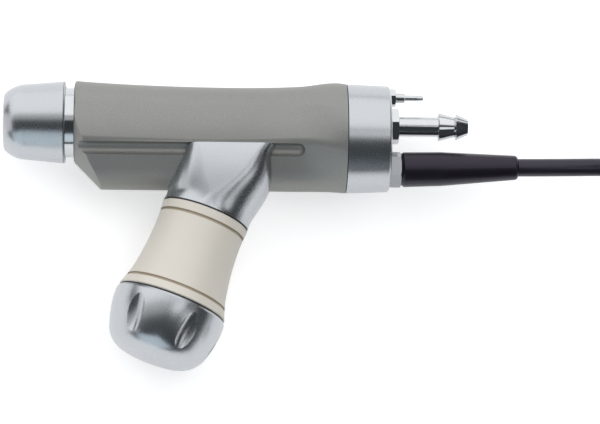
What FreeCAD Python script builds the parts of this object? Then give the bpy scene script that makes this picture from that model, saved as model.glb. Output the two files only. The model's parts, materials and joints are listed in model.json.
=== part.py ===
import FreeCAD, Part

import math
import os

import Sketcher
from FreeCAD import Placement, Rotation, Vector

# A pistol-grip surgical drill and shaver handpiece, lying on its side. The spindle axis is the X axis.
# X runs from the tool socket to the rear, the grip hangs towards -Y, and Z points up from the table.
# Lengths are in millimetres and angles in degrees.

SIZES = {
    # Tool socket and coupling body
    "socket_bore": 6.0,
    "socket_depth": 6.6,
    "throat_bore": 5.2,
    "nose_tube_radius": 7.6,
    "neck_radius": 10.9,
    "neck_start": 18.4,
    "housing_front": 22.0,
    "coupling_end": 30.0,
    "bearing_seat_start": 16.0,
    "lock_ball_radius": 1.45,
    "lock_ball_station": 10.5,
    "lock_ball_reach": 0.5,
    "lock_travel": 2.2,
    "lock_lift": 0.484,
    # Coupling sleeve
    "sleeve_length": 19.2,
    "sleeve_rear_radius": 12.85,
    "sleeve_shoulder": 7.0,
    "sleeve_shoulder_radius": 11.83,
    "sleeve_face_radius": 8.3,
    "sleeve_wall_play": 0.15,
    "sleeve_pocket_radius": 11.2,
    "sleeve_pocket_start": 13.0,
    "disc_springs": 4,
    # Spindle, bearings and gears
    "bearing_outer": 6.4,
    "bearing_length": 4.0,
    "spindle_radius": 3.0,
    "spindle_start": 13.0,
    "drive_slot": 1.6,
    "suction_bore": 1.5,
    "running_gap": 0.03,
    "carrier_radius": 7.2,
    "carrier_start": 30.5,
    "carrier_thickness": 1.9,
    "gear_module": 0.38,
    "sun_teeth": 15,
    "planet_teeth": 12,
    "ring_teeth": 39,
    "gear_start": 32.8,
    "gear_width": 4.0,
    "pin_radius": 0.75,
    # Motor
    "motor_radius": 8.6,
    "motor_start": 38.0,
    "cover_thickness": 3.0,
    "can_length": 42.0,
    "can_wall": 0.6,
    "stator_bore": 5.9,
    "stator_start": 48.0,
    "stator_length": 24.0,
    "magnet_radius": 5.5,
    "shaft_radius": 2.4,
    "rotor_bearing_outer": 4.5,
    "rotor_bearing_length": 2.5,
    # Main housing
    "wall_play": 0.05,
    "front_radius": 13.1,
    "waist_radius": 11.5,
    "front_half_width": 13.1,
    "waist_half_width": 12.6,
    "rise_station": 32.0,
    "hollow_station": 45.0,
    "waist_station": 64.0,
    "flare_station": 92.0,
    "flare_radius": 12.05,
    "housing_rear": 107.0,
    "side_top": 3.0,
    "side_lean": 0.35,
    "corner_radius": 4.0,
    "flank_angle": 31.5,
    "belly_radius": 9.4,
    "belly_drop": 11.9,
    "rail_drop": 11.0,
    "rail_radius": 2.1,
    "rail_end": 93.9,
    # Rear cap and connectors
    "cap_drop": 4.2,
    "cap_radius": 17.15,
    "cap_taper": 0.48,
    "cap_length": 13.5,
    "cap_wall": 1.6,
    "cap_floor": 4.0,
    "seam": 0.3,
    "suction_across_flats": 10.0,
    "suction_hex": 3.0,
    "suction_stem": 3.1,
    "suction_stem_length": 12.4,
    "barb_radius": 4.5,
    "barb_length": 5.5,
    "tip_barb_radius": 4.2,
    "tip_barb_length": 3.9,
    "irrigation_height": 9.3,
    "irrigation_across_flats": 5.0,
    "irrigation_nut": 2.1,
    "irrigation_stem": 1.55,
    "irrigation_stem_length": 2.9,
    "nipple_radius": 0.925,
    "nipple_length": 5.8,
    "line_radius": 0.6,
    "cable_drop": 14.0,
    "gland_across_flats": 10.0,
    "gland_hex": 3.6,
    "boot_length": 36.6,
    "boot_radius": 5.5,
    "boot_tip_radius": 3.85,
    "boot_lean": 1.7,
    "cable_radius": 2.8,
    # Grip
    "grip_root": 74.0,
    "grip_lean": 20.0,
    "head_seam": 31.2,
    "head_radius": 14.0,
    "head_top": 9.4,
    "head_play": 0.2,
    "lip_front": 57.4,
    "lip_rear": 84.8,
    "lip_half_width": 14.1,
    "seal_thickness": 0.45,
    "grip_length": 29.5,
    "grip_waist_radius": 13.65,
    "grip_foot_radius": 17.3,
    "grip_core": 9.0,
    "core_bore": 5.0,
    "grip_groove": 0.5,
    "rod_radius": 2.5,
    "pad_radius": 4.2,
    "knob_radius": 17.7,
    "knob_length": 18.3,
    "knob_spigot": 6.5,
    "knob_play": 0.1,
    "flute_radius": 4.2,
    "flute_bow": 26.6,
    "flute_depth": 2.2,
    "flutes": 6,
    # Motor cable and its plug
    "floor": -17.7,
    "coil_inner": 19.8,
    "coil_outer": 42.2,
    "coil_height": 11.2,
    "coil_x": 240.0,
    "coil_y": -50.0,
    "plug_radius": 6.5,
    "plug_length": 30.0,
}

# The free run of the motor cable, from the strain relief down to the table and on to the coil.
LEAD_ROUTE = [
    (161.18, -12.91, 0.0),
    (175.0, -12.5, -0.9),
    (190.0, -11.2, -4.4),
    (205.0, -10.4, -9.6),
    (220.0, -10.5, -13.9),
    (235.4, -10.6, -14.9),
]
# The last of the cable, from the coil to the plug beside it.
PLUG_ROUTE = [
    (250.2, -88.1, -9.4),
    (236.0, -92.2, -10.3),
    (221.0, -96.0, -11.1),
    (207.0, -98.7, -11.2),
    (194.0, -100.3, -11.2),
]


class Size:
    """A number and the sheet expression that gives it."""

    def __init__(self, value, text):
        self.value = float(value)
        self.text = text

    def __add__(self, other):
        other = as_size(other)
        return Size(self.value + other.value, f"({self.text} + {other.text})")

    def __radd__(self, other):
        return as_size(other) + self

    def __sub__(self, other):
        other = as_size(other)
        return Size(self.value - other.value, f"({self.text} - {other.text})")

    def __rsub__(self, other):
        return as_size(other) - self

    def __mul__(self, other):
        other = as_size(other)
        return Size(self.value * other.value, f"({self.text} * {other.text})")

    def __rmul__(self, other):
        return as_size(other) * self

    def __truediv__(self, other):
        other = as_size(other)
        return Size(self.value / other.value, f"({self.text} / {other.text})")

    def __rtruediv__(self, other):
        return as_size(other) / self

    def __neg__(self):
        return 0 - self


def as_size(item):
    """Give a plain number the form of a size."""
    if isinstance(item, Size):
        return item
    return Size(item, repr(round(float(item), 9)))


def sine(angle):
    """The sine of a size in degrees."""
    return Size(math.sin(math.radians(angle.value)), f"sin({angle.text} * 1 deg)")


def cosine(angle):
    """The cosine of a size in degrees."""
    return Size(math.cos(math.radians(angle.value)), f"cos({angle.text} * 1 deg)")


def tangent(angle):
    """The tangent of a size in degrees."""
    return Size(math.tan(math.radians(angle.value)), f"tan({angle.text} * 1 deg)")


def root(size):
    """The square root of a size."""
    return Size(math.sqrt(size.value), f"sqrt({size.text})")


class Sheet:
    """The driving dimensions, each read by its name as a size."""

    def __init__(self, doc):
        self.values = dict(SIZES)
        page = doc.addObject("Spreadsheet::Sheet", "sizes")
        for row, (name, value) in enumerate(SIZES.items(), 1):
            page.set(f"A{row}", name.replace("_", " "))
            page.set(f"B{row}", str(value))
            page.setAlias(f"B{row}", name)

    def __getattr__(self, name):
        return Size(self.values[name], f"sizes.{name}")


doc = FreeCAD.newDocument("handpiece")
s = Sheet(doc)
doc.recompute()
nodes = []


def placement_text(x, y, z, axis, angle):
    """The expression of a placement from a position and a turn."""
    place = f"create(<<vector>>; {as_size(x).text}; {as_size(y).text}; {as_size(z).text})"
    turn = f"create(<<vector>>; {axis[0]}; {axis[1]}; {axis[2]})"
    return f"create(<<placement>>; {place}; create(<<rotation>>; {turn}; {as_size(angle).text}))"


def put(thing, x=0, y=0, z=0, axis=(0, 0, 1), angle=0):
    """Place a sub-part by an expression on the sheet."""
    thing.setExpression("Placement", placement_text(x, y, z, axis, angle))
    return thing


def new_body(label):
    """Start a body that becomes one named sub-part."""
    made = doc.addObject("PartDesign::Body", label)
    made.Label = label
    return made


def keep(thing):
    """Hand a finished sub-part in."""
    nodes.append(thing)
    return thing


def origin_part(made, role):
    """Find a plane or an axis of a body's origin."""
    return next(item for item in made.Origin.OriginFeatures if item.Role == role)


def new_sketch(made, name, plane="XY_Plane", offset=None):
    """Attach an empty sketch to a plane of its body's origin."""
    drawn = made.newObject("Sketcher::SketchObject", name)
    drawn.AttachmentSupport = [(origin_part(made, plane), "")]
    drawn.MapMode = "FlatFace"
    if offset:
        drawn.setExpression("AttachmentOffset", offset)
    return drawn


def plain(point):
    """A sketch point as a vector of plain numbers."""
    return Vector(as_size(point[0]).value, as_size(point[1]).value, 0)


def edge_between(start, end, radius):
    """A straight edge, or an arc that turns left for a positive radius and right for a negative one."""
    if radius is None:
        return Part.LineSegment(start, end)
    chord = end - start
    middle = (start + end) * 0.5
    left = Vector(-chord.y, chord.x, 0).normalize()
    rise = math.sqrt(max(radius**2 - (chord.Length / 2) ** 2, 0))
    sagitta = abs(radius) - rise
    if radius < 0:
        return Part.Arc(end, middle + left * sagitta, start)
    return Part.Arc(start, middle - left * sagitta, end)


def draw(drawn, points):
    """Draw a closed outline and bind every corner and radius to the sheet.

    A point is (x, y), or (x, y, radius) where an arc arrives at it.
    """
    count = len(points)
    for i in range(count):
        start, end = points[i - 1], points[i]
        radius = as_size(end[2]).value if len(end) > 2 else None
        drawn.addGeometry(edge_between(plain(start), plain(end), radius), False)

    def side(index, point):
        return 1 if (drawn.Geometry[index].StartPoint - plain(point)).Length < 1e-6 else 2

    for i in range(count):
        here = points[i]
        after = (i + 1) % count
        drawn.addConstraint(
            Sketcher.Constraint("Coincident", i, side(i, here), after, side(after, here))
        )
        for way, item in (("DistanceX", here[0]), ("DistanceY", here[1])):
            item = as_size(item)
            rule = Sketcher.Constraint(way, -1, 1, i, side(i, here), item.value)
            number = drawn.addConstraint(rule)
            if "sizes." in item.text:
                drawn.setExpression(f"Constraints[{number}]", item.text)
        if len(here) > 2:
            item = as_size(here[2])
            if item.value < 0:
                item = -item
            number = drawn.addConstraint(Sketcher.Constraint("Radius", i, item.value))
            if "sizes." in item.text:
                drawn.setExpression(f"Constraints[{number}]", item.text)
    return drawn


def draw_circle(drawn, x, y, radius):
    """Draw a circle bound to the sheet."""
    x, y, radius = as_size(x), as_size(y), as_size(radius)
    index = drawn.addGeometry(Part.Circle(Vector(x.value, y.value, 0), Vector(0, 0, 1), radius.value))
    rules = (
        (Sketcher.Constraint("DistanceX", -1, 1, index, 3, x.value), x),
        (Sketcher.Constraint("DistanceY", -1, 1, index, 3, y.value), y),
        (Sketcher.Constraint("Radius", index, radius.value), radius),
    )
    for rule, item in rules:
        number = drawn.addConstraint(rule)
        if "sizes." in item.text:
            drawn.setExpression(f"Constraints[{number}]", item.text)
    return drawn


def revolve(made, name, points, plane="XY_Plane"):
    """Add a turned solid about the body's X axis."""
    drawn = draw(new_sketch(made, name + "_outline", plane), points)
    turned = made.newObject("PartDesign::Revolution", name)
    turned.Profile = drawn
    turned.ReferenceAxis = (drawn, ["H_Axis"])
    turned.Angle = 360
    return turned


def groove(made, name, points, offset=None):
    """Cut a turned recess about the sketch's own horizontal axis."""
    drawn = draw(new_sketch(made, name + "_outline", offset=offset), points)
    cut = made.newObject("PartDesign::Groove", name)
    cut.Profile = drawn
    cut.ReferenceAxis = (drawn, ["H_Axis"])
    cut.Angle = 360
    return cut


def pocket(made, name, drawn, length, backwards=False, both=False):
    """Cut a sketch into the body over a stated length."""
    cut = made.newObject("PartDesign::Pocket", name)
    cut.Profile = drawn
    cut.Reversed = backwards
    cut.Midplane = both
    length = as_size(length)
    cut.Length = length.value
    if "sizes." in length.text:
        cut.setExpression("Length", length.text)
    return cut


def around(made, name, feature, count, axis="X_Axis"):
    """Repeat a feature evenly about an axis of the body."""
    spread = made.newObject("PartDesign::PolarPattern", name)
    spread.Originals = [feature]
    spread.Axis = (origin_part(made, axis), [""])
    spread.Angle = 360
    count = as_size(count)
    spread.Occurrences = int(count.value)
    if "sizes." in count.text:
        spread.setExpression("Occurrences", count.text)
    made.Tip = spread
    return spread


def cuts_into(made, before):
    """Check that the last cut has taken material away, and give the volume left."""
    doc.recompute()
    left = made.Shape.Volume
    if left > before * 0.99999:
        raise RuntimeError(f"{made.Label}: a cut took nothing away")
    return left


def turned_part(label, points, x=0, y=0, z=0, axis=(0, 0, 1), angle=0):
    """A sub-part that is a single turned solid."""
    made = new_body(label)
    revolve(made, label + "_turned", points)
    return put(made, x, y, z, axis, angle)


def ring_points(length, outer, inner):
    """The outline of a plain ring or tube."""
    return [(0, inner), (length, inner), (length, outer), (0, outer)]


def ring_part(label, length, outer, inner, x=0, y=0):
    """A plain ring or tube along the X axis."""
    return keep(turned_part(label, ring_points(length, outer, inner), x, y))


def on_grip(made, distance):
    """Place a sub-part on the grip's axis, at a distance from the spindle axis."""
    x = s.grip_root - distance * sine(s.grip_lean)
    y = -(distance * cosine(s.grip_lean))
    return put(made, x, y, 0, (0, 0, 1), -90 - s.grip_lean)


def cut_flats(made, across, length, first_on_z=False):
    """Cut six flats for a spanner into the front stretch of a turned body."""
    doc.recompute()
    before = made.Shape.Volume
    near, far = across / 2, across
    if first_on_z:
        corners = [(-far, near), (far, near), (far, far), (-far, far)]
    else:
        corners = [(near, -far), (far, -far), (far, far), (near, far)]
    drawn = draw(new_sketch(made, made.Label + "_flat", "YZ_Plane"), corners)
    flat = pocket(made, made.Label + "_flat_cut", drawn, length, backwards=True)
    around(made, made.Label + "_hexagon", flat, 6)
    cuts_into(made, before)


# Coupling body, sleeve, lock balls and spring


def make_coupling_body():
    """The fixed nose tube with the tool socket, the neck and the spindle's bearing seat."""
    made = new_body("coupling_body")
    edge = 0.5
    revolve(
        made,
        "nose",
        [
            (0, s.socket_bore),
            (s.socket_depth, s.socket_bore),
            (s.socket_depth, s.throat_bore),
            (s.bearing_seat_start, s.throat_bore),
            (s.bearing_seat_start, s.bearing_outer),
            (s.coupling_end, s.bearing_outer),
            (s.coupling_end, s.neck_radius),
            (s.neck_start, s.neck_radius),
            (s.neck_start, s.nose_tube_radius),
            (edge, s.nose_tube_radius),
            (0, s.nose_tube_radius - edge),
        ],
    )
    doc.recompute()
    volume = made.Shape.Volume
    drawn = draw_circle(
        new_sketch(made, "ball_hole_outline"), s.lock_ball_station, 0, s.lock_ball_radius + 0.05
    )
    hole = pocket(made, "ball_hole", drawn, s.neck_radius, backwards=True)
    around(made, "ball_holes", hole, 3)
    volume = cuts_into(made, volume)
    end = placement_text(0, 0, s.coupling_end, (0, 0, 1), 0)
    drawn = draw_circle(
        new_sketch(made, "line_seat_outline", "YZ_Plane", end),
        s.irrigation_height,
        0,
        s.line_radius + s.wall_play,
    )
    pocket(made, "line_seat", drawn, 6)
    cuts_into(made, volume)
    return keep(made)


def lock_ball_centre():
    """How far a lock ball's centre is from the spindle axis at rest."""
    return s.throat_bore - s.lock_ball_reach + s.lock_ball_radius


def make_lock_balls():
    """Three balls that reach into the throat and hold the tool's groove."""
    for number in range(3):
        angle = 90 + 120 * number
        ball = doc.addObject("Part::Sphere", f"lock_ball_{number + 1}")
        ball.Label = f"lock_ball_{number + 1}"
        ball.setExpression("Radius", s.lock_ball_radius.text)
        reach = lock_ball_centre()
        y = reach * round(math.cos(math.radians(angle)), 9)
        z = reach * round(math.sin(math.radians(angle)), 9)
        keep(put(ball, s.lock_ball_station, y, z))


def make_coupling_sleeve():
    """The domed sleeve that is pulled back to free the tool."""
    land = s.nose_tube_radius + s.sleeve_wall_play
    ramp = 3.0
    slope = s.lock_lift / s.lock_travel
    pocket_radius = land + ramp * slope
    edge = 0.35
    made = turned_part(
        "coupling_sleeve",
        [
            (0, land),
            (3.6, land),
            (4.2, pocket_radius),
            (s.lock_ball_station - ramp, pocket_radius),
            (s.lock_ball_station, land),
            (s.sleeve_pocket_start, land),
            (s.sleeve_pocket_start, s.sleeve_pocket_radius),
            (s.sleeve_length, s.sleeve_pocket_radius),
            (s.sleeve_length, s.sleeve_rear_radius - edge),
            (s.sleeve_length - edge, s.sleeve_rear_radius),
            (s.sleeve_shoulder, s.sleeve_shoulder_radius),
            (0.7, s.sleeve_face_radius + 1.05, 9.5),
            (0, s.sleeve_face_radius, 1.6),
        ],
    )
    return keep(made)


def group(label, members):
    """Join like pieces into one sub-part of separate solids."""
    made = doc.addObject("Part::Compound", label)
    made.Label = label
    made.Links = members
    return keep(made)


def make_disc_springs():
    """The stack of conical disc springs that pushes the sleeve forwards."""
    inner = s.nose_tube_radius + 0.2
    outer = s.sleeve_pocket_radius - 0.2
    thick = 0.4
    pitch = (s.neck_start - s.sleeve_pocket_start - 0.1) / s.disc_springs
    dish = pitch - thick - 0.02
    discs = []
    for number in range(int(s.disc_springs.value)):
        near, far = (outer, inner) if number % 2 else (inner, outer)
        outline = [(0, near), (dish, far), (dish + thick, far), (thick, near)]
        if number % 2 == 0:
            outline.reverse()
        x = s.sleeve_pocket_start + 0.05 + pitch * number
        discs.append(turned_part(f"disc_spring_{number + 1}", outline, x))
    return group("sleeve_springs", discs)


# Spindle and its bearings


def make_spindle_bearings():
    """Two sealed ball bearings in the coupling body, with a spacer and a retaining ring."""
    bore = s.spindle_radius + s.running_gap
    rear = s.coupling_end - 2 - s.bearing_length
    lip = 0.4
    for label, x in (("front_spindle_bearing", s.bearing_seat_start), ("rear_spindle_bearing", rear)):
        made = new_body(label)
        revolve(made, label + "_rings", ring_points(s.bearing_length, s.bearing_outer, bore))
        doc.recompute()
        volume = made.Shape.Volume
        for side, start in (("front", as_size(0)), ("back", s.bearing_length - lip)):
            inside = bore + 0.9
            outside = s.bearing_outer - 0.9
            groove(
                made,
                f"{label}_{side}_shield",
                [(start, inside), (start + lip, inside), (start + lip, outside), (start, outside)],
            )
            volume = cuts_into(made, volume)
        keep(put(made, x))
    start = s.bearing_seat_start + s.bearing_length
    ring_part("bearing_spacer", rear - start, s.bearing_outer, s.spindle_radius + 1.5, start)
    ring_part("bearing_retaining_ring", 1.2, s.bearing_outer, s.spindle_radius + 1.2, rear + s.bearing_length)


def make_drive_spindle():
    """The hollow output spindle with a cross slot that drives the tool."""
    made = new_body("drive_spindle")
    flange = 1.2
    head_end = s.bearing_seat_start - s.spindle_start - 0.2
    length = s.carrier_start + s.carrier_thickness - s.spindle_start
    revolve(
        made,
        "spindle",
        [
            (0, s.suction_bore),
            (length, s.suction_bore),
            (length, s.spindle_radius),
            (head_end, s.spindle_radius),
            (head_end, s.spindle_radius + flange),
            (0, s.spindle_radius + flange),
        ],
    )
    doc.recompute()
    volume = made.Shape.Volume
    half = s.drive_slot / 2
    reach = s.spindle_radius + flange + 1
    drawn = draw(
        new_sketch(made, "drive_slot_outline", "YZ_Plane"),
        [(-reach, -half), (reach, -half), (reach, half), (-reach, half)],
    )
    slot = pocket(made, "drive_slot", drawn, 1.6, backwards=True)
    around(made, "drive_slots", slot, 4)
    cuts_into(made, volume)
    return keep(put(made, s.spindle_start))


def planet_orbit():
    """The distance from the sun's axis to a planet's axis."""
    return s.gear_module * (s.sun_teeth + s.planet_teeth) / 2


def planet_places():
    """The angle of each planet round the spindle."""
    return [0, 120, 240]


def make_planet_carrier():
    """The disc on the spindle's rear end that carries the planet pins."""
    made = new_body("planet_carrier")
    revolve(made, "disc", ring_points(s.carrier_thickness, s.carrier_radius, s.spindle_radius))
    doc.recompute()
    volume = made.Shape.Volume
    drawn = draw_circle(new_sketch(made, "pin_seat_outline", "YZ_Plane"), planet_orbit(), 0, s.pin_radius)
    seat = pocket(made, "pin_seat", drawn, s.carrier_thickness, backwards=True)
    around(made, "pin_seats", seat, 3)
    cuts_into(made, volume)
    return keep(put(made, s.carrier_start))


def make_planet_pins():
    """Three headed pins pressed into the carrier."""
    length = s.gear_start + s.gear_width + 0.3 - s.carrier_start
    head = 0.5
    outline = [
        (0, 0),
        (length + head, 0),
        (length + head, s.pin_radius + 0.35),
        (length, s.pin_radius + 0.35),
        (length, s.pin_radius),
        (0, s.pin_radius),
    ]
    pins = []
    for number, angle in enumerate(planet_places(), 1):
        y = planet_orbit() * round(math.cos(math.radians(angle)), 9)
        z = planet_orbit() * round(math.sin(math.radians(angle)), 9)
        pins.append(turned_part(f"planet_pin_{number}", outline, s.carrier_start, y, z))
    return group("planet_pins", pins)


# Epicyclic gears with short involute teeth

PRESSURE_ANGLE = math.radians(20)
ADDENDUM = 0.8
DEDENDUM = 1.05
BACKLASH = 0.14


def involute(angle):
    """The involute function of an angle in radians."""
    return math.tan(angle) - angle


def half_thickness(teeth, radius, sign):
    """Half the angle of a tooth at a radius given in modules, thinned or widened by the backlash."""
    pitch = teeth / 2
    base = pitch * math.cos(PRESSURE_ANGLE)
    here = math.acos(min(base / max(radius, base), 1))
    play = sign * BACKLASH / (2 * pitch)
    return math.pi / (2 * teeth) + play + involute(PRESSURE_ANGLE) - involute(here)


def gap_outline(teeth, inner, outer, beyond, internal):
    """One gap between teeth, symmetrical about the sketch's X axis, as sizes in the module."""
    pitch = teeth / 2
    stations = [inner, pitch, outer]
    angles = []
    for radius in stations:
        if internal:
            angles.append(half_thickness(teeth, radius, 1))
        else:
            angles.append(math.pi / teeth - half_thickness(teeth, radius, -1))
    if internal:
        stations = [inner - beyond] + stations[1:]
    else:
        stations = stations[:2] + [outer + beyond]
    points = [(r * math.cos(a), -r * math.sin(a)) for r, a in zip(stations, angles)]
    points += [(x, -y) for x, y in reversed(points)]
    return [(s.gear_module * x, s.gear_module * y) for x, y in points]


def cut_teeth(made, teeth, internal):
    """Cut the gaps between the teeth of a blank."""
    doc.recompute()
    volume = made.Shape.Volume
    pitch = teeth.value / 2
    if internal:
        inner, outer = pitch - ADDENDUM, pitch + DEDENDUM
    else:
        inner, outer = pitch - DEDENDUM, pitch + ADDENDUM
    outline = gap_outline(teeth.value, inner, outer, 0.4, internal)
    drawn = draw(new_sketch(made, made.Label + "_gap_outline", "YZ_Plane"), outline)
    gap = pocket(made, made.Label + "_gap", drawn, s.gear_width + 2, backwards=True)
    around(made, made.Label + "_teeth", gap, teeth)
    cuts_into(made, volume)


def make_gears():
    """The sun, three planets and the fixed ring of the reduction."""
    tip = ADDENDUM * s.gear_module
    sun = new_body("sun_gear")
    sun_radius = s.gear_module * s.sun_teeth / 2 + tip
    revolve(sun, "sun_blank", ring_points(s.gear_width, sun_radius, s.suction_bore + 0.45))
    cut_teeth(sun, s.sun_teeth, False)
    keep(put(sun, s.gear_start))
    half_pitch = 180 / s.planet_teeth
    for number, angle in enumerate(planet_places(), 1):
        y = planet_orbit() * round(math.cos(math.radians(angle)), 9)
        z = planet_orbit() * round(math.sin(math.radians(angle)), 9)
        planet = new_body(f"planet_gear_{number}")
        radius = s.gear_module * s.planet_teeth / 2 + tip
        bore = s.pin_radius + s.running_gap
        revolve(planet, f"planet_blank_{number}", ring_points(s.gear_width, radius, bore))
        cut_teeth(planet, s.planet_teeth, False)
        keep(put(planet, s.gear_start, y, z, (1, 0, 0), half_pitch + angle))
    ring = new_body("ring_gear")
    inner = s.gear_module * s.ring_teeth / 2 - tip
    start = s.carrier_start + s.carrier_thickness + 0.3
    width = s.motor_start - 0.2 - start
    revolve(ring, "ring_blank", ring_points(width, s.motor_radius, inner))
    cut_teeth(ring, s.ring_teeth, True)
    keep(put(ring, start))


# Motor


def motor_end():
    """The station of the motor's rear face."""
    return s.motor_start + 2 * s.cover_thickness + s.can_length


def make_motor():
    """The hollow-shaft motor between two covers."""
    can_start = s.motor_start + s.cover_thickness
    rear_cover = can_start + s.can_length
    seat = s.rotor_bearing_outer
    depth = s.rotor_bearing_length
    hole = s.shaft_radius + 0.4
    front = [
        (0, hole),
        (s.cover_thickness - depth, hole),
        (s.cover_thickness - depth, seat),
        (s.cover_thickness, seat),
        (s.cover_thickness, s.motor_radius),
        (0, s.motor_radius),
    ]
    back = [
        (0, seat),
        (depth, seat),
        (depth, hole),
        (s.cover_thickness, hole),
        (s.cover_thickness, s.motor_radius),
        (0, s.motor_radius),
    ]
    keep(turned_part("motor_front_cover", front, s.motor_start))
    keep(turned_part("motor_rear_cover", back, rear_cover))
    bore = s.shaft_radius + s.running_gap
    ring_part("rotor_front_bearing", depth, seat, bore, can_start - depth)
    ring_part("rotor_rear_bearing", depth, seat, bore, rear_cover)
    inside = s.motor_radius - s.can_wall
    ring_part("motor_can", s.can_length, s.motor_radius, inside, can_start)
    ring_part("stator_core", s.stator_length, inside, s.stator_bore, s.stator_start)
    winding = 3.0
    coil = (winding, inside - 0.3, s.stator_bore + 0.2)
    ring_part("front_windings", *coil, s.stator_start - winding)
    ring_part("rear_windings", *coil, s.stator_start + s.stator_length)
    ring_part("sensor_board", 1.2, inside, s.shaft_radius + 0.8, s.stator_start + s.stator_length + 5)
    ring_part("rotor_magnet", s.stator_length, s.magnet_radius, s.shaft_radius, s.stator_start)
    nose = s.gear_width
    length = motor_end() + 1.3 - s.gear_start
    shaft = [
        (0, s.suction_bore),
        (length, s.suction_bore),
        (length, s.shaft_radius),
        (nose, s.shaft_radius),
        (nose, s.suction_bore + 0.45),
        (0, s.suction_bore + 0.45),
    ]
    keep(turned_part("rotor_shaft", shaft, s.gear_start))
    seal_bore = s.shaft_radius + s.running_gap
    ring_part("shaft_seal", 1.4, s.shaft_radius + 1.6, seal_bore, motor_end())


# Main housing


def flank_foot():
    """Where the flank runs into the belly arc, as (height, half width)."""
    y = -s.belly_drop - s.belly_radius * sine(s.flank_angle)
    z = s.belly_radius * cosine(s.flank_angle)
    return y, z


def housing_section(made, name, station, top, half_width, blend):
    """Draw one section of the housing, from the railed form at blend 0 to the round rear at blend 1.

    Sketch X is the object's Y, and sketch Y is its Z.
    """
    foot_y, foot_z = flank_foot()
    corner_y = foot_y + (half_width - foot_z) / tangent(s.flank_angle)
    reach = s.corner_radius * tangent(s.flank_angle / 2)
    railed = [
        (s.side_top, half_width - s.side_lean),
        (corner_y + reach, half_width),
        (corner_y - reach * cosine(s.flank_angle), half_width - reach * sine(s.flank_angle)),
        (foot_y, foot_z),
    ]
    rise = top - s.side_top
    shoulder = half_width - s.side_lean
    crown = (shoulder * shoulder + rise * rise) / (2 * rise)
    bends = [1 / crown, as_size(0), 1 / s.corner_radius, as_size(0), 1 / s.belly_radius]
    round_angles = [68, 104, 122, 150]
    corners = []
    for (y, z), angle in zip(railed, round_angles):
        around_y = -s.cap_drop + s.cap_radius * round(math.cos(math.radians(angle)), 9)
        around_z = s.cap_radius * round(math.sin(math.radians(angle)), 9)
        corners.append((y + (around_y - y) * blend, z + (around_z - z) * blend))
    radii = []
    for bend in bends:
        mixed = bend * (1 - blend) + blend / s.cap_radius
        radii.append(None if mixed.value < 1e-6 else 1 / mixed)
    crown, side, corner, flank, belly = radii
    outline = [corners[0] + (crown,)]
    for point, radius in zip(corners[1:], (side, corner, flank)):
        outline.append(point + ((radius,) if radius else ()))
    outline.append((corners[3][0], -corners[3][1], belly))
    for point, radius in zip(reversed(corners[:3]), (flank, corner, side)):
        outline.append((point[0], -point[1]) + ((radius,) if radius else ()))
    offset = placement_text(0, 0, station, (0, 0, 1), 0)
    return draw(new_sketch(made, name, "YZ_Plane", offset), outline)


def loft(made, name, sections):
    """Add a smooth solid through a row of sections."""
    skin = made.newObject("PartDesign::AdditiveLoft", name)
    skin.Profile = sections[0]
    skin.Sections = sections[1:]
    skin.Ruled = False
    doc.recompute()
    return skin


def rail_axis_width():
    """How far the rail grooves' axes lie from the middle plane."""
    foot_y, foot_z = flank_foot()
    return foot_z + (-s.rail_drop - foot_y) * tangent(s.flank_angle)


def make_main_housing():
    """The waisted housing with a rail groove along each flank."""
    made = new_body("main_housing")
    full = s.front_half_width
    slim = s.waist_half_width
    drop = s.front_radius - s.waist_radius
    forms = [
        ("front_section", s.housing_front, s.front_radius, full, 0),
        ("rise_section", s.rise_station, s.waist_radius + drop * 0.59, full * 0.7 + slim * 0.3, 0),
        ("hollow_section", s.hollow_station, s.waist_radius + drop * 0.25, full * 0.3 + slim * 0.7, 0),
        ("waist_section", s.waist_station, s.waist_radius, slim, 0),
        ("flare_section", s.flare_station, s.flare_radius, full, 0),
    ]
    loft(made, "barrel", [housing_section(made, *form) for form in forms])
    run = s.housing_rear - s.flare_station
    swell = s.cap_radius - s.cap_drop - s.flare_radius
    flares = [("flare_start", s.flare_station, s.flare_radius, full, 0)]
    for name, share, blend in (("flare_early", 0.33, 0.14), ("flare_late", 0.68, 0.55)):
        station = s.flare_station + run * share
        flares.append((name, station, s.flare_radius + swell * share, full, blend))
    flares.append(("rear_section", s.housing_rear, s.cap_radius - s.cap_drop, full, 1))
    loft(made, "flare", [housing_section(made, *form) for form in flares])
    volume = made.Shape.Volume
    turn = 1.0
    half = turn * round(math.sqrt(0.5), 9)
    cone = 12
    start = s.housing_front
    rim = s.front_radius - turn
    groove(
        made,
        "front_chamfer",
        [
            (start - 1, rim + cone + 8),
            (start - 1, rim),
            (start, rim),
            (start + turn - half, rim + half),
            (start + turn - half + cone, rim + half + cone),
            (start + turn - half + cone, rim + cone + 8),
        ],
    )
    volume = cuts_into(made, volume)
    run_out = s.rail_end - s.rail_radius
    for name, sign in (("upper_rail", 1), ("lower_rail", -1)):
        offset = placement_text(0, -s.rail_drop, rail_axis_width() * sign, (1, 0, 0), 0)
        groove(
            made,
            name,
            [
                (s.housing_front - 2, 0),
                (s.rail_end, 0),
                (run_out, s.rail_radius, s.rail_radius),
                (s.housing_front - 2, s.rail_radius),
            ],
            offset,
        )
        volume = cuts_into(made, volume)
    make_housing_bores(made, volume)
    return keep(made)


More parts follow.
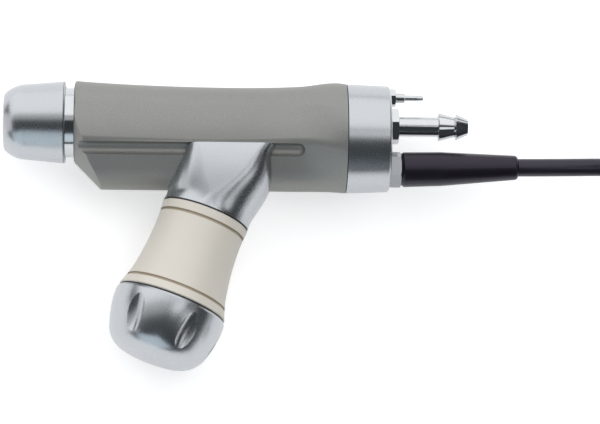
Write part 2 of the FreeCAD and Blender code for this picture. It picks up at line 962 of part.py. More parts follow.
def make_housing_bores(made, volume):
    """Bore the housing for the coupling body, the motor, the irrigation line, the cable and the cap."""
    motor_bore = s.motor_radius + s.wall_play
    chamber = 10.4
    chamber_start = motor_end()
    groove(
        made,
        "main_bore",
        [
            (s.housing_front - 1, 0),
            (s.housing_rear + 1, 0),
            (s.housing_rear + 1, chamber),
            (chamber_start, chamber),
            (chamber_start, motor_bore),
            (s.coupling_end, motor_bore),
            (s.coupling_end, s.neck_radius),
            (s.housing_front - 1, s.neck_radius),
        ],
    )
    volume = cuts_into(made, volume)
    channel = s.line_radius + 2 * s.wall_play
    top = s.irrigation_height + channel
    offset = placement_text(0, 0, s.housing_rear, (0, 0, 1), 0)
    drawn = draw(
        new_sketch(made, "line_channel_outline", "YZ_Plane", offset),
        [
            (motor_bore - 1.2, channel),
            (motor_bore - 1.2, -channel),
            (top, -channel),
            (top, channel),
        ],
    )
    pocket(made, "line_channel", drawn, s.housing_rear - s.coupling_end)
    volume = cuts_into(made, volume)
    duct = s.cable_radius + 1
    drawn = draw(
        new_sketch(made, "cable_duct_outline", "YZ_Plane", offset),
        [
            (-s.cable_drop, -duct, duct),
            (-4, -duct),
            (-4, duct),
            (-s.cable_drop, duct),
            (-s.cable_drop - duct, 0, duct),
        ],
    )
    pocket(made, "cable_duct", drawn, s.housing_rear - chamber_start - 3)
    volume = cuts_into(made, volume)
    drawn = draw_circle(
        new_sketch(made, "cap_seat_outline", "YZ_Plane", offset), -s.cap_drop, 0, cap_spigot() + s.wall_play
    )
    pocket(made, "cap_seat", drawn, 6)
    cuts_into(made, volume)


# Rear cap and what it carries


def cap_spigot():
    """The radius of the rear cap's spigot inside the housing, just clear of the irrigation line."""
    return s.irrigation_height - s.line_radius + s.cap_drop - 0.1


def cap_front():
    """The station of the rear cap's front edge."""
    return s.housing_rear + s.seam


def cap_back():
    """The station of the rear cap's rear face."""
    return cap_front() + s.cap_length


def make_rear_gasket():
    """The thin dark ring between housing and cap, with a hole for the irrigation line."""
    made = new_body("rear_gasket")
    revolve(made, "gasket_ring", ring_points(s.seam, s.cap_radius - 0.2, cap_spigot() + 0.1))
    doc.recompute()
    volume = made.Shape.Volume
    high = s.irrigation_height + s.cap_drop
    drawn = draw_circle(
        new_sketch(made, "line_hole_outline", "YZ_Plane"), high, 0, s.line_radius + s.wall_play
    )
    pocket(made, "line_hole", drawn, 1, backwards=True)
    cuts_into(made, volume)
    keep(put(made, s.housing_rear, -s.cap_drop))


def make_rear_cap():
    """The satin cap that closes the housing and carries the three connectors."""
    spigot = 5.5
    made = new_body("rear_cap")
    edge = 1.0
    rear = s.cap_radius - s.cap_taper
    inside = cap_spigot() - s.cap_wall + 0.2
    length = s.cap_length + spigot
    revolve(
        made,
        "cup",
        [
            (0, inside),
            (length - s.cap_floor, inside),
            (length - s.cap_floor, 0),
            (length, 0),
            (length, rear - edge),
            (length - edge * 0.7, rear, 1.2),
            (spigot, s.cap_radius),
            (spigot, cap_spigot()),
            (0, cap_spigot()),
        ],
    )
    doc.recompute()
    volume = made.Shape.Volume
    holes = (
        ("suction_hole", s.cap_drop, s.suction_stem + 0.6),
        ("cable_hole", s.cap_drop - s.cable_drop, s.cable_radius + 1.2),
    )
    offset = placement_text(0, 0, length, (0, 0, 1), 0)
    for name, y, radius in holes:
        drawn = draw_circle(new_sketch(made, name + "_outline", "YZ_Plane", offset), y, 0, radius)
        pocket(made, name, drawn, s.cap_floor)
        volume = cuts_into(made, volume)
    high = s.irrigation_height + s.cap_drop
    drawn = draw_circle(
        new_sketch(made, "irrigation_hole_outline", "YZ_Plane", offset), high, 0, s.line_radius + s.wall_play
    )
    pocket(made, "irrigation_hole", drawn, s.cap_length + 0.5)
    cuts_into(made, volume)
    return keep(put(made, cap_front() - spigot, -s.cap_drop))


def hex_points(across, length, chamfer=0.6):
    """The chamfered outline of a hexagon's blank, from its axis outwards and back."""
    corner = across / 2 * 1.1547
    rise = chamfer * 0.4
    return [
        (0, corner - chamfer),
        (rise, corner),
        (length - rise, corner),
        (length, corner - chamfer),
    ]


def make_suction_connector():
    """The suction connector: a hexagon, a stem and two hose barbs, bored right through."""
    made = new_body("suction_connector")
    stub = s.cap_floor
    stem_end = s.suction_hex + s.suction_stem_length
    barb_end = stem_end + s.barb_length
    tip = barb_end + s.tip_barb_length
    tube = s.suction_stem + 0.5
    outline = hex_points(s.suction_across_flats, s.suction_hex)
    outline += [
        (s.suction_hex, s.suction_stem),
        (stem_end, s.suction_stem),
        (stem_end, s.barb_radius - 0.2),
        (stem_end + 0.2, s.barb_radius),
        (barb_end, s.suction_stem),
        (barb_end, s.tip_barb_radius - 0.2),
        (barb_end + 0.2, s.tip_barb_radius),
        (tip, s.suction_stem * 0.82),
        (tip, s.suction_bore + 0.5),
        (-stub, s.suction_bore + 0.5),
        (-stub, tube),
        (0, tube),
    ]
    revolve(made, "connector", outline)
    cut_flats(made, s.suction_across_flats, s.suction_hex)
    return keep(put(made, cap_back()))


def make_suction_tube():
    """The fixed tube that carries suction from the rotor shaft to the connector."""
    start = motor_end() + 1.5
    flange = 1.2
    length = cap_back() - s.cap_floor - 0.05 - start
    wall = 0.9
    outline = [
        (0, s.suction_bore),
        (length, s.suction_bore),
        (length, s.suction_bore + wall),
        (flange, s.suction_bore + wall),
        (flange, s.shaft_radius + 2),
        (0, s.shaft_radius + 2),
    ]
    return keep(turned_part("suction_tube", outline, start))


def make_irrigation_parts():
    """The irrigation nipple, its nut and the line that leads to the nose."""
    nut = new_body("irrigation_nut")
    outline = hex_points(s.irrigation_across_flats, s.irrigation_nut, 0.3)
    outline += [(s.irrigation_nut, s.line_radius + 0.3), (0, s.line_radius + 0.3)]
    revolve(nut, "nut_blank", outline)
    cut_flats(nut, s.irrigation_across_flats, s.irrigation_nut)
    keep(put(nut, cap_back(), s.irrigation_height))
    taper = 2.0
    stem = s.irrigation_nut + s.irrigation_stem_length
    tip = stem + s.nipple_length
    bore = 0.45
    outline = [
        (0, bore),
        (tip, bore),
        (tip, s.nipple_radius - 0.2),
        (tip - taper, s.nipple_radius),
        (stem, s.nipple_radius),
        (stem, s.irrigation_stem - 0.15),
        (stem - 0.15, s.irrigation_stem),
        (s.irrigation_nut + 0.02, s.irrigation_stem),
        (s.irrigation_nut + 0.02, s.line_radius + 0.3),
        (0, s.line_radius + 0.3),
    ]
    keep(turned_part("irrigation_nipple", outline, cap_back(), s.irrigation_height))
    start = s.coupling_end - 5.9
    ring_part("irrigation_line", cap_back() - start, s.line_radius, 0.35, start, s.irrigation_height)


def make_cable_exit():
    """The gland in the cap and the strain relief on the cable."""
    gland = new_body("cable_gland")
    stub = s.cap_floor
    thread = s.cable_radius + 1.1
    bore = s.cable_radius + s.wall_play
    outline = hex_points(s.gland_across_flats, s.gland_hex)
    outline += [(s.gland_hex, bore), (-stub, bore), (-stub, thread), (0, thread)]
    revolve(gland, "gland_blank", outline)
    cut_flats(gland, s.gland_across_flats, s.gland_hex, first_on_z=True)
    keep(put(gland, cap_back(), -s.cable_drop))
    nose = s.boot_length
    outline = [
        (0, 0),
        (nose, 0),
        (nose, s.cable_radius + 0.45),
        (nose - 0.9, s.boot_tip_radius, 1.1),
        (nose * 0.34, s.boot_radius - 0.15),
        (0.8, s.boot_radius),
        (0, s.boot_radius - 0.5),
    ]
    x = cap_back() + s.gland_hex + 0.18
    keep(turned_part("strain_relief", outline, x, -s.cable_drop, 0, (0, 0, 1), s.boot_lean))


# Grip


def make_handle_head():
    """The metal saddle that rides on the rails, lofted from its lips down to the round grip."""
    made = new_body("handle_head")
    forms = [
        ("lip_section", 0, 0, 0, s.lip_half_width, 4.0, 0),
        ("upper_section", 1.8, 5.8, 0.7, s.lip_half_width + 0.3, 7.5, 1.6),
        ("shoulder_section", 3.3, 11.0, 1.7, s.lip_half_width + 0.2, 11.0, 2.2),
        ("lower_section", 5.4, 15.2, 0.83, s.lip_half_width, 13.0, 10.3),
    ]
    sections = [saddle_section(made, *form) for form in forms]
    sections.append(seam_section(made))
    loft(made, "saddle", sections)
    volume = made.Shape.Volume
    drawn = draw(new_sketch(made, "rail_slot_outline", "YZ_Plane"), rail_slot_outline(s.head_play))
    pocket(made, "rail_slot", drawn, 400, both=True)
    volume = cuts_into(made, volume)
    offset = grip_offset()
    bore = s.rod_radius + 0.1
    deep = s.pad_radius + 0.2
    pad_room = s.head_seam - 2.2
    groove(
        made,
        "rod_bore",
        [
            (0, 0),
            (s.head_seam + 1, 0),
            (s.head_seam + 1, bore),
            (pad_room, bore),
            (pad_room, deep),
            (0, deep),
        ],
        offset,
    )
    cuts_into(made, volume)
    return keep(made)


def grip_offset():
    """The sketch offset that lays a sketch's X axis along the grip, from the spindle axis outwards."""
    return placement_text(s.grip_root, 0, 0, (0, 0, 1), -90 - s.grip_lean)


def tilted_section(made, name, x, y, tilt, points):
    """Draw an outline across the grip, in a plane through (x, y) that leans by a tilt.

    Sketch X runs to the rear along the tilted plane, and sketch Y is the object's Z.
    """
    base = f"create(<<vector>>; {x.text}; 0; {(-y).text})"
    turn = f"create(<<rotation>>; create(<<vector>>; 0; 1; 0); {(-as_size(tilt)).text})"
    offset = f"create(<<placement>>; {base}; {turn})"
    return draw(new_sketch(made, name, "XZ_Plane", offset), points)


def saddle_section(made, name, forward, down, growth, half_width, corner, tilt):
    """A rounded rectangle across the grip, moved forward and down from the lips and grown in length."""
    half_length = (s.lip_rear - s.lip_front) / 2 + growth
    turn = as_size(corner)
    points = [
        (half_length, half_width - turn),
        (half_length - turn, half_width, turn),
        (turn - half_length, half_width),
        (-half_length, half_width - turn, turn),
        (-half_length, turn - half_width),
        (turn - half_length, -half_width, turn),
        (half_length - turn, -half_width),
        (half_length, turn - half_width, turn),
    ]
    middle = (s.lip_front + s.lip_rear) / 2 - forward
    return tilted_section(made, name, middle, -s.head_top - down, tilt, points)


def seam_section(made):
    """The round end of the saddle, square to the grip's axis."""
    middle_x = s.grip_root - s.head_seam * sine(s.grip_lean)
    middle_y = -(s.head_seam * cosine(s.grip_lean))
    wide = 12
    steps = [wide, 90 - wide, 90 + wide, 180 - wide]
    angles = steps + [angle + 180 for angle in steps]
    points = []
    for angle in angles:
        x = s.head_radius * round(math.cos(math.radians(angle)), 9)
        z = s.head_radius * round(math.sin(math.radians(angle)), 9)
        points.append((x, z, s.head_radius))
    return tilted_section(made, "seam_section", middle_x, middle_y, s.grip_lean, points)


def rail_slot_outline(play):
    """The housing's lower outline, moved outwards by the play, with the rail lips left standing."""
    foot_y, foot_z = flank_foot()
    lean_y, lean_z = cosine(s.flank_angle), sine(s.flank_angle)
    out_y, out_z = -lean_z, lean_y
    top_y = as_size(-4.0)
    top_z = foot_z + (top_y - foot_y) * tangent(s.flank_angle)
    lip = s.rail_radius - play
    middle_y, middle_z = -s.rail_drop, rail_axis_width()
    upper = (middle_y + lean_y * lip + out_y * play, middle_z + lean_z * lip + out_z * play)
    lower = (middle_y - lean_y * lip + out_y * play, middle_z - lean_z * lip + out_z * play)
    foot = (foot_y + out_y * play, foot_z + out_z * play)
    top = (top_y + out_y * play, top_z + out_z * play)
    belly = s.belly_radius + play
    return [
        (top[0], -top[1]),
        top,
        upper,
        lower + (-(lip * 1.002),),
        foot,
        (foot[0], -foot[1], belly),
        (lower[0], -lower[1]),
        (upper[0], -upper[1], -(lip * 1.002)),
    ]


def make_grip_sleeve():
    """The pale sleeve of the grip, waisted, with a fine groove near each end."""
    start = s.head_seam + s.seal_thickness
    length = s.grip_length
    foot = s.grip_foot_radius
    waist = s.grip_waist_radius
    flare = length * 0.74
    swell = waist + 1.5
    made = new_body("grip_sleeve")
    revolve(
        made,
        "sleeve",
        [
            (0, s.grip_core),
            (length, s.grip_core),
            (length, foot - 0.3),
            (length - 0.3, foot),
            (flare, swell, -40),
            (length * 0.24, waist, -85),
            (0.3, s.head_radius, -52),
            (0, s.head_radius - 0.3),
        ],
    )
    doc.recompute()
    volume = made.Shape.Volume
    half = 0.5
    low = length - 3.3
    share = (low - flare) / (length - 0.3 - flare)
    lines = (
        ("upper_line", as_size(3.2), s.head_radius - 0.26),
        ("lower_line", low, swell + share * (foot - swell) - 0.18),
    )
    for name, at, radius in lines:
        notch = [
            (at - half, radius + 0.6),
            (at - half * 0.6, radius - s.grip_groove),
            (at + half * 0.6, radius - s.grip_groove),
            (at + half, radius + 0.6),
        ]
        groove(made, name, notch)
        volume = cuts_into(made, volume)
    return keep(on_grip(made, start))


def make_grip_core():
    """The tube under the grip sleeve, with a spigot that the knob turns on."""
    end = s.grip_length + 2 * s.seal_thickness
    spigot = 4.6
    neck = 2.4
    bore = s.rod_radius + 0.1
    made = turned_part(
        "grip_core",
        [
            (0, bore),
            (3, bore),
            (3, s.core_bore),
            (end + spigot, s.core_bore),
            (end + spigot, s.knob_spigot),
            (end + neck + 1, s.knob_spigot),
            (end + neck + 1, s.knob_spigot - 0.6),
            (end + neck, s.knob_spigot - 0.6),
            (end + neck, s.knob_spigot),
            (end, s.knob_spigot),
            (end, s.grip_core - 0.05),
            (0, s.grip_core - 0.05),
        ],
    )
    return keep(on_grip(made, s.head_seam))


def knob_top():
    """The distance of the knob's top face along the grip."""
    return s.head_seam + 2 * s.seal_thickness + s.grip_length + s.knob_play


def make_grip_seals():
    """The thin dark rings above and below the grip sleeve."""
    inside = s.grip_core + 0.02
    upper = turned_part("upper_grip_seal", ring_points(s.seal_thickness, s.head_radius - 0.25, inside))
    keep(on_grip(upper, s.head_seam))
    lower = turned_part("lower_grip_seal", ring_points(s.seal_thickness, s.grip_foot_radius - 0.25, inside))
    keep(on_grip(lower, s.head_seam + s.seal_thickness + s.grip_length))


def make_clamp_knob():
    """The fluted clamp knob with its domed bottom."""
    made = new_body("clamp_knob")
    length = s.knob_length
    spigot = s.knob_spigot + s.running_gap
    catch = 2.2
    recess_end = 5.2
    nut = 5.0
    top = s.knob_radius
    revolve(
        made,
        "knob_form",
        [
            (0, spigot),
            (catch, spigot),
            (catch, spigot + 1),
            (recess_end, spigot + 1),
            (recess_end, nut),
            (13.2, nut),
            (13.2, s.rod_radius + 0.3),
            (15.4, s.rod_radius + 0.3),
            (15.4, 0),
            (length + 0.6, 0),
            (length * 0.991, top * 0.53, 60),
            (length * 0.71, top - 2.1, 8.35),
            (0.7, top, 30),
            (0, top - 0.45),
        ],
        "XZ_Plane",
    )
    doc.recompute()
    volume = made.Shape.Volume
    lean = 13
    half = root(2 * s.flute_bow * s.flute_radius - s.flute_radius * s.flute_radius)
    offset = placement_text(9.45, top - s.flute_depth + s.flute_radius, 0, (0, 0, 1), -lean)
    flute = groove(made, "flute", [(-half, 0, s.flute_bow), (half, 0)], offset)
    around(made, "flute_ring", flute, s.flutes)
    cuts_into(made, volume)
    return keep(on_grip(made, knob_top()))


def make_clamp_parts():
    """The threaded rod, its pad, the nut in the knob and the ring that holds the knob on."""
    nut = turned_part("knob_nut", ring_points(7.9, 5.0, s.rod_radius + s.running_gap))
    keep(on_grip(nut, knob_top() + 5.25))
    clip = ring_points(0.8, s.knob_spigot + 0.85, s.knob_spigot - 0.55)
    ring = turned_part("knob_retaining_ring", clip)
    keep(on_grip(ring, s.head_seam + 2 * s.seal_thickness + s.grip_length + 2.55))
    back = s.head_seam - 4.2
    length = knob_top() + 13.4 - back
    rod = turned_part("clamp_rod", [(0, 0), (length, 0), (length, s.rod_radius), (0, s.rod_radius)])
    keep(on_grip(rod, back))
    pad = new_body("clamp_pad")
    offset = grip_offset()
    outline = draw(
        new_sketch(pad, "pad_outline", offset=offset),
        [(back - 14, 0), (back, 0), (back, s.pad_radius), (back - 14, s.pad_radius)],
    )
    blank = pad.newObject("PartDesign::Revolution", "pad_blank")
    blank.Profile = outline
    blank.ReferenceAxis = (outline, ["H_Axis"])
    blank.Angle = 360
    doc.recompute()
    volume = pad.Shape.Volume
    drawn = draw(new_sketch(pad, "pad_seat_outline", "YZ_Plane"), rail_slot_outline(0.1))
    pocket(pad, "pad_seat", drawn, 400, both=True)
    cuts_into(pad, volume)
    keep(put(pad))


# Motor cable


def rounded_path(points):
    """Straight runs joined by tangent arcs, each as large as its two runs allow."""
    corners = [Vector(*point) for point in points]
    edges = []
    start = corners[0]
    for before, here, after in zip(corners, corners[1:], corners[2:]):
        back = before - here
        on = after - here
        half = back.getAngle(on) / 2
        trim = 0.45 * min(back.Length, on.Length)
        radius = trim * math.tan(half)
        print(f"cable bend at {here.x:.0f}, {here.y:.0f}: radius {radius:.1f} mm")
        back.normalize()
        on.normalize()
        middle = back + on
        centre = here + middle.normalize() * (radius / math.sin(half))
        first = here + back * trim
        last = here + on * trim
        edges.append(Part.LineSegment(start, first).toShape())
        edges.append(Part.Arc(first, centre + (here - centre).normalize() * radius, last).toShape())
        start = last
    edges.append(Part.LineSegment(start, corners[-1]).toShape())
    return Part.Wire(edges)


def make_cable_run(label, points):
    """A plain tube along one free run of the cable."""
    path = rounded_path(points)
    radius = s.cable_radius.value
    way = Vector(*points[1]) - Vector(*points[0])
    disc = Part.Wire(Part.makeCircle(radius, Vector(*points[0]), way))
    run = doc.addObject("Part::Feature", label)
    run.Shape = path.makePipeShell([disc], True, True)
    run.Placement = Placement(Vector(0, 0, 0), Rotation())
    run.Label = label
    ideal = math.pi * radius**2 * path.Length
    print(f"{label}: volume {run.Shape.Volume:.1f}, section times length {ideal:.1f} cubic mm")
    return keep(run)


def make_cable_end():
    """The stored coil of cable and the plug that lies beside it."""
    coil = turned_part(
        "cable_coil",
        ring_points(s.coil_height, s.coil_outer, s.coil_inner),
        s.coil_x,
        s.coil_y,
        s.floor,
        (0, 1, 0),
        -90,
    )
    keep(coil)
    end = Vector(*PLUG_ROUTE[-1])
    way = end - Vector(*PLUG_ROUTE[-2])
    heading = math.degrees(math.atan2(way.y, way.x))
    cable = s.cable_radius
    radius = s.plug_radius
    boot = 16.0
    length = s.plug_length

    def lay(made, distance):
        x = end.x + distance * round(math.cos(math.radians(heading)), 9)
        y = end.y + distance * round(math.sin(math.radians(heading)), 9)
        return keep(put(made, x, y, end.z, (0, 0, 1), round(heading, 6)))

    outline = [(0, 0), (boot, 0), (boot, radius - 1.3), (boot - 1, radius - 1, 1.4), (0, cable + 0.6)]
    lay(turned_part("plug_strain_relief", outline), 0)
    shell = new_body("plug_shell")
    wall = 1.0
    revolve(
        shell,
        "plug_form",
        [
            (0, 0),
            (length - 12, 0),
            (length - 12, radius - wall - 0.5),
            (length, radius - wall - 0.5),
            (length, radius - 0.9),
            (length - 0.4, radius - 0.5),
            (length - 10, radius - 0.5),
            (length - 10, radius - 0.2),
            (length - 10.2, radius),
            (0.6, radius),
            (0, radius - 0.6),
        ],
    )
    doc.recompute()
    volume = shell.Shape.Volume
    bite = 0.25
    notch = [(3, radius - bite), (length - 13, radius - bite), (length - 13, radius + 1), (3, radius + 1)]
    drawn = draw(new_sketch(shell, "grip_cut_outline"), notch)
    cut = pocket(shell, "grip_cut", drawn, 0.9, both=True)
    around(shell, "grip_cuts", cut, 24)
    cuts_into(shell, volume)
    lay(shell, boot)
    insert = new_body("plug_insert")
    revolve(insert, "insert_form", [(0, 0), (9, 0), (9, radius - 1.7), (0, radius - 1.7)])
    doc.recompute()
    volume = insert.Shape.Volume
    drawn = draw_circle(new_sketch(insert, "pin_hole_outline", "YZ_Plane"), 2.6, 0, 0.5)
    hole = pocket(insert, "pin_hole", drawn, 9, backwards=True)
    around(insert, "pin_holes", hole, 8)
    cuts_into(insert, volume)
    lay(insert, boot + length.value - 12)


def make_inner_lead():
    """The lead from the gland to the motor inside the housing."""
    back = cap_back().value - s.cap_floor.value - 0.1
    front = motor_end().value + 0.4
    low = -s.cable_drop.value
    high = 1.8 - s.motor_radius.value
    points = [(back, low, 0), (back - 7, low, 0.3), (front + 9, high - 1.8, 0), (front, high, 0)]
    path = rounded_path(points)
    radius = 1.5
    disc = Part.Wire(Part.makeCircle(radius, Vector(*points[0]), Vector(-1, 0, 0)))
    lead = doc.addObject("Part::Feature", "inner_lead")
    lead.Shape = path.makePipeShell([disc], True, True)
    lead.Placement = Placement(Vector(0, 0, 0), Rotation())
    lead.Label = "inner_lead"
    return keep(lead)


def export():
    """Check every object and write one file for each sub-part."""
    doc.recompute()
    faults = []
    for item in doc.Objects:
        if "Invalid" in item.State or "Error" in item.State:
            faults.append(f"{item.Label}: {item.State}")
    for node in nodes:
        if node.Shape.isNull() or not node.Shape.isValid() or not node.Shape.Solids:
            faults.append(f"{node.Label}: no valid solid")
        if node.TypeId == "PartDesign::Body" and len(node.Shape.Solids) > 1:
            faults.append(f"{node.Label}: a loose chip")
    if faults:
        raise RuntimeError("; ".join(faults))
    os.makedirs("parts", exist_ok=True)
    for node in nodes:
        node.Shape.exportStep(f"parts/{node.Label}.step")
    print(len(nodes), "nodes")


make_coupling_body()
make_lock_balls()
make_coupling_sleeve()
make_disc_springs()
make_spindle_bearings()
make_drive_spindle()
make_planet_carrier()
make_planet_pins()
make_gears()
make_motor()
make_main_housing()
make_rear_gasket()
make_rear_cap()
make_suction_connector()
make_suction_tube()
make_irrigation_parts()
make_cable_exit()
make_inner_lead()
make_handle_head()
make_grip_sleeve()
make_grip_core()
make_grip_seals()
make_clamp_knob()
make_clamp_parts()
make_cable_run("cable_lead", LEAD_ROUTE)
make_cable_end()
make_cable_run("plug_lead", PLUG_ROUTE)
export()
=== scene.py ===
import json
import math

import bmesh
import bpy
from mathutils import Matrix, Vector


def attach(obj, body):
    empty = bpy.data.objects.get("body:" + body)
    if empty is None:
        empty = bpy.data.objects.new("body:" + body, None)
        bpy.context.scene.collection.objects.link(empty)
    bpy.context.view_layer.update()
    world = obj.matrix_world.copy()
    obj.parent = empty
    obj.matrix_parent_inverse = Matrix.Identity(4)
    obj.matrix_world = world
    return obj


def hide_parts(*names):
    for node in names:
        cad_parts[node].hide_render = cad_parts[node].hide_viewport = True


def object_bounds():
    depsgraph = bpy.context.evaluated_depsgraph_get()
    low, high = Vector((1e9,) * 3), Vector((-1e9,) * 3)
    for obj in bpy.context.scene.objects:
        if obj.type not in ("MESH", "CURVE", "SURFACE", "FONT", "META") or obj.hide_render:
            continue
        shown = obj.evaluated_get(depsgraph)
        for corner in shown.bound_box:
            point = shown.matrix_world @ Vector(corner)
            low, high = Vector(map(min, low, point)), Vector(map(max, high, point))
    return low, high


# The looks of a pistol-grip surgical handpiece that lies on its side on a pale table.
# The spindle axis is X, the grip hangs towards -Y, and Z points up. Lengths are in metres.

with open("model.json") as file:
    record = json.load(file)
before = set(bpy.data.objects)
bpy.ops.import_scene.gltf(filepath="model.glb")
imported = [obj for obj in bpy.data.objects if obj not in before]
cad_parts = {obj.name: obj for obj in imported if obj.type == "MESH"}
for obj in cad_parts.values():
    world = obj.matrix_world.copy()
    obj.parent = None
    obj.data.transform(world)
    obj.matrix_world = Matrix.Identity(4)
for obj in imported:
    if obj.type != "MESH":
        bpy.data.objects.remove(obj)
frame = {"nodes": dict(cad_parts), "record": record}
cad_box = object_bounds()

MM = 0.001
FLOOR = cad_box[0].z
GRIP_LEAN = math.radians(20)
GRIP_ROOT = Vector((74 * MM, 0, 0))
DOWN_GRIP = Vector((-math.sin(GRIP_LEAN), -math.cos(GRIP_LEAN), 0))
# The fine grooves of the grip sleeve, where shade is painted into them, by their distance from the spindle
# axis.
GRIP_GROOVES = (34.85 * MM, 57.85 * MM)
# A dark line of painted shade for a fine groove turned into the sleeve near its rear edge, by its distance
# from the nose.
SLEEVE_SHADE_LINE = 18.75 * MM
# Heights of the barrel's flank: its foot, its upper edge, and where the rounding above it is left alone.
FLANK_FOOT = -8.6 * MM
FLANK_EDGE = 3.0 * MM
FLANK_SHOULDER = 6.8 * MM


# Shader maths


class Sock:
    """A socket of a node, on which Python's operators add Math nodes."""

    def __init__(self, tree, socket):
        self.tree = tree
        self.socket = socket

    def _math(self, operation, *values):
        return node(self.tree, "ShaderNodeMath", {"operation": operation}, values)

    def __add__(self, other):
        return self._math("ADD", self, other)

    def __radd__(self, other):
        return self._math("ADD", other, self)

    def __sub__(self, other):
        return self._math("SUBTRACT", self, other)

    def __mul__(self, other):
        return self._math("MULTIPLY", self, other)

    def __rmul__(self, other):
        return self._math("MULTIPLY", other, self)

    def clip(self):
        return node(self.tree, "ShaderNodeClamp", {}, [self])


def node(tree, kind, settings, inputs, output=0):
    """Add a node with its settings, then feed its sockets by number or name, and give one output."""
    made = tree.nodes.new(kind)
    for name, value in settings.items():
        setattr(made, name, value)
    pairs = inputs.items() if isinstance(inputs, dict) else enumerate(inputs)
    for name, value in pairs:
        if isinstance(value, Sock):
            tree.links.new(value.socket, made.inputs[name])
        else:
            made.inputs[name].default_value = value
    return Sock(tree, made.outputs[output])


def mix(tree, share, first, second):
    """Blend two colours."""
    settings = {"data_type": "RGBA", "blend_type": "MIX"}
    colours = [item if isinstance(item, Sock) else (*item, 1) for item in (first, second)]
    return node(tree, "ShaderNodeMix", settings, {0: share, 6: colours[0], 7: colours[1]}, 2)


def scaled(tree, scale=(1, 1, 1)):
    """The object's own coordinates in metres, stretched by a scale."""
    place = node(tree, "ShaderNodeTexCoord", {}, [], 3)
    return node(tree, "ShaderNodeVectorMath", {"operation": "MULTIPLY"}, [place, scale])


def noise(tree, size, detail=2.0, place=None, roughness=0.5):
    """Soft noise whose grains are about the stated size in metres."""
    spots = {"Vector": place or scaled(tree), "Scale": 1 / size, "Detail": detail, "Roughness": roughness}
    return node(tree, "ShaderNodeTexNoise", {}, spots)


def ramp(tree, value, low, high):
    """A value stretched from a low and a high mark to 0 and 1."""
    marks = {"Value": value, "From Min": low, "From Max": high}
    return node(tree, "ShaderNodeMapRange", {}, marks)


def along(tree, direction):
    """How far a point of the piece lies along a direction, in metres."""
    place = node(tree, "ShaderNodeTexCoord", {}, [], 3)
    settings = {"operation": "DOT_PRODUCT"}
    return node(tree, "ShaderNodeVectorMath", settings, {0: place, 1: tuple(direction)}, 1)


def stripe(tree, value, middle, half_width):
    """A soft-edged line of 1 where a value is near a mark."""
    off = node(tree, "ShaderNodeMath", {"operation": "ABSOLUTE"}, [value - middle])
    return ramp(tree, off, half_width, half_width * 0.6)


def bump(tree, height, depth, strength=1.0):
    """A normal from a height, of which 1 stands for a depth in metres."""
    return node(tree, "ShaderNodeBump", {}, {"Height": height, "Distance": depth, "Strength": strength})


def new_material(name):
    """An empty material with one shader on its output."""
    made = bpy.data.materials.new(name)
    made.use_nodes = True
    made.node_tree.nodes.clear()
    tree = made.node_tree
    shader = tree.nodes.new("ShaderNodeBsdfPrincipled")
    out = tree.nodes.new("ShaderNodeOutputMaterial")
    tree.links.new(shader.outputs[0], out.inputs[0])
    return made, tree, shader


def feed(tree, shader, **values):
    """Set or link the shader's sockets, named with underscores for spaces."""
    for name, value in values.items():
        socket = shader.inputs[name.replace("_", " ")]
        if isinstance(value, Sock):
            tree.links.new(value.socket, socket)
        elif isinstance(value, tuple) and len(value) == 3:
            socket.default_value = (*value, 1)
        else:
            socket.default_value = value


# Finishes


def make_satin_steel(name, painted_shade_line=None):
    """Blasted stainless steel: a fine even grain, faint cloudiness and perhaps a dark line of painted shade
    for a fine turned groove.
    """
    made, tree, shader = new_material(name)
    grain = noise(tree, 0.00020, 3)
    cloud = noise(tree, 0.012, 2)
    tint = mix(tree, cloud, (0.512, 0.532, 0.556), (0.532, 0.552, 0.576))
    tint = mix(tree, 0.3 * ramp(tree, grain, 0.5, 0.72), tint, (0.42, 0.44, 0.46))
    if painted_shade_line:
        # A dark stripe of painted shade, standing in for the shadow inside a fine turned groove.
        line = stripe(tree, along(tree, (1, 0, 0)), painted_shade_line, 0.00018)
        tint = mix(tree, 0.75 * line, tint, (0.12, 0.12, 0.13))
    feed(tree, shader, Base_Color=tint, Metallic=1.0, Roughness=0.25 + 0.05 * grain)
    feed(tree, shader, Normal=bump(tree, grain, 0.000006, 0.2))
    return made


def make_polished_steel():
    """Polished steel with hairlines from wiping."""
    made, tree, shader = new_material("polished_steel")
    lines = noise(tree, 0.0008, 3, scaled(tree, (1, 14, 14)))
    smear = ramp(tree, noise(tree, 0.005, 3), 0.4, 0.8)
    tint = mix(tree, smear, (0.62, 0.635, 0.65), (0.58, 0.595, 0.61))
    feed(tree, shader, Base_Color=tint, Metallic=1.0, Roughness=0.09 + 0.05 * lines + 0.05 * smear)
    feed(tree, shader, Normal=bump(tree, lines, 0.000006, 0.35))
    return made


def flank_crown(tree):
    """The height in metres of a slight crown that the barrel's flank seems to have, by shading alone."""
    upwards = along(tree, (0, 1, 0))
    crest = 4.2 * MM
    below = (FLANK_EDGE - FLANK_FOOT) * ramp(tree, upwards, FLANK_FOOT, FLANK_EDGE) - crest
    above = ramp(tree, upwards, FLANK_EDGE, FLANK_SHOULDER)
    bend = -14.0
    rise = 0.4 * MM
    crown = bend * below * below + rise * (above - 0.5 * above * above)
    round_rear, flat_front = 101 * MM, 90 * MM
    return crown * ramp(tree, along(tree, (1, 0, 0)), round_rear, flat_front)


